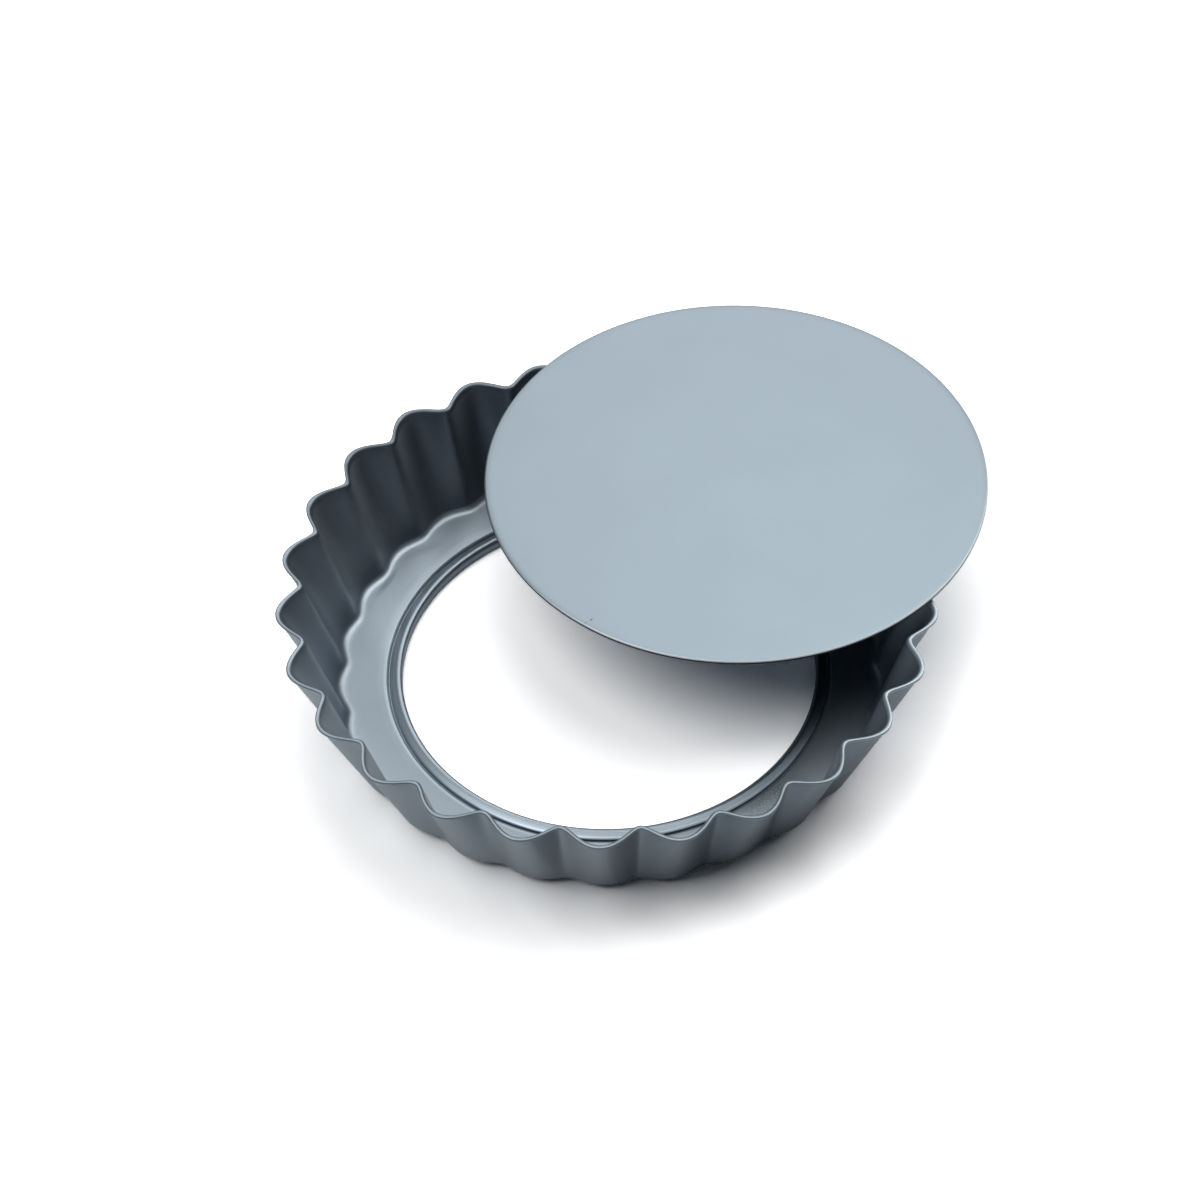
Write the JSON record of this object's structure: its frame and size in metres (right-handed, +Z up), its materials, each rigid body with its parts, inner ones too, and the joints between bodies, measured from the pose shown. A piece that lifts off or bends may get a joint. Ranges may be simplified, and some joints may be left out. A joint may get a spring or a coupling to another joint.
{
  "type": "mini tart pan",
  "caption": "Small round tart pan of coated sheet steel: a fluted ring with a ledge round an open hole, and a flat loose base that lies across its rim.",
  "frame": {"origin": "on the table, under the middle of the box round both pieces as they lie taken apart", "axes": "+Z up out of the pan; the base lies off to the +X +Y side of the ring"},
  "size_m": [0.1098, 0.1112, 0.0209],
  "materials": {
    "ring_coating": "satin non-stick coating on carbon steel",
    "base_coating": "satin non-stick coating on carbon steel"
  },
  "bodies": {
    "ring": {"fluted_ring": "ring_coating"},
    "base": {"loose_base": "base_coating"}
  },
  "joints": [
    {"name": "base_lift", "type": "slide", "parent": "ring", "child": "base", "axis": [0, 0, 1], "range_m": [0, 0.06]}
  ]
}
